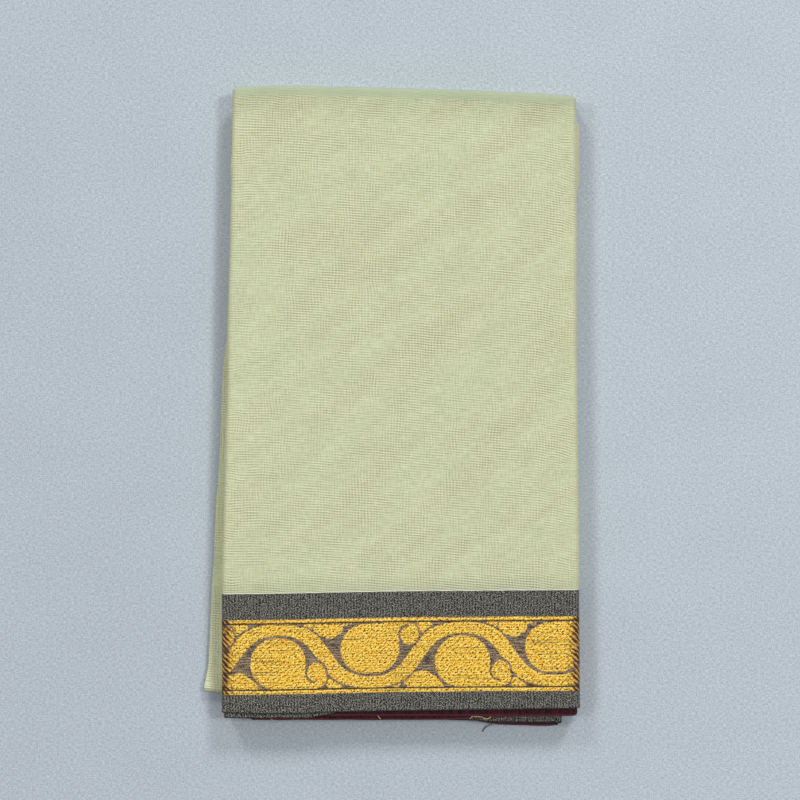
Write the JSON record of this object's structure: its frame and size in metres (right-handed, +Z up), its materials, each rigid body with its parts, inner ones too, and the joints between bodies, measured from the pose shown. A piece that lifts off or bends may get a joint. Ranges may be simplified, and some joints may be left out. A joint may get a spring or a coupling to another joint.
{
  "type": "folded cotton saree",
  "caption": "Cotton saree folded flat for the shelf, with a woven gold border along its front edge and layered selvedges.",
  "frame": {"origin": "under the middle of the pack's box, on the surface that it rests on", "axes": "+X to the right edge (the last fold), +Y to the back fold, +Z up through the plies"},
  "size_m": [0.3654, 0.6174, 0.022],
  "materials": {
    "field_cotton": "sheer plain weave, pale pistachio",
    "charcoal_cotton": "matt plain weave, pepper and salt charcoal",
    "maroon_cotton": "matt plain weave, dark maroon",
    "gold_zari": "metallic thread woven in a figured band"
  },
  "bodies": {
    "root": {"top_field": "field_cotton", "top_charcoal_inner": "charcoal_cotton", "top_zari": "gold_zari", "top_charcoal_outer": "charcoal_cotton", "under_field": "field_cotton", "under_charcoal_inner": "charcoal_cotton", "under_zari": "gold_zari", "under_charcoal_outer": "charcoal_cotton", "back_fold_2": "field_cotton", "back_fold_3": "field_cotton", "left_fold_upper": "field_cotton", "left_fold_middle": "field_cotton", "left_fold_lower": "field_cotton", "plain_end": "field_cotton", "inner_plies": "field_cotton", "selvedge_1_charcoal": "charcoal_cotton", "selvedge_2_maroon": "maroon_cotton", "selvedge_3_maroon": "maroon_cotton", "selvedge_4_charcoal": "charcoal_cotton", "selvedge_5_charcoal": "charcoal_cotton", "selvedge_6_maroon": "maroon_cotton", "selvedge_7_maroon": "maroon_cotton", "selvedge_8_charcoal": "charcoal_cotton"}
  },
  "joints": []
}
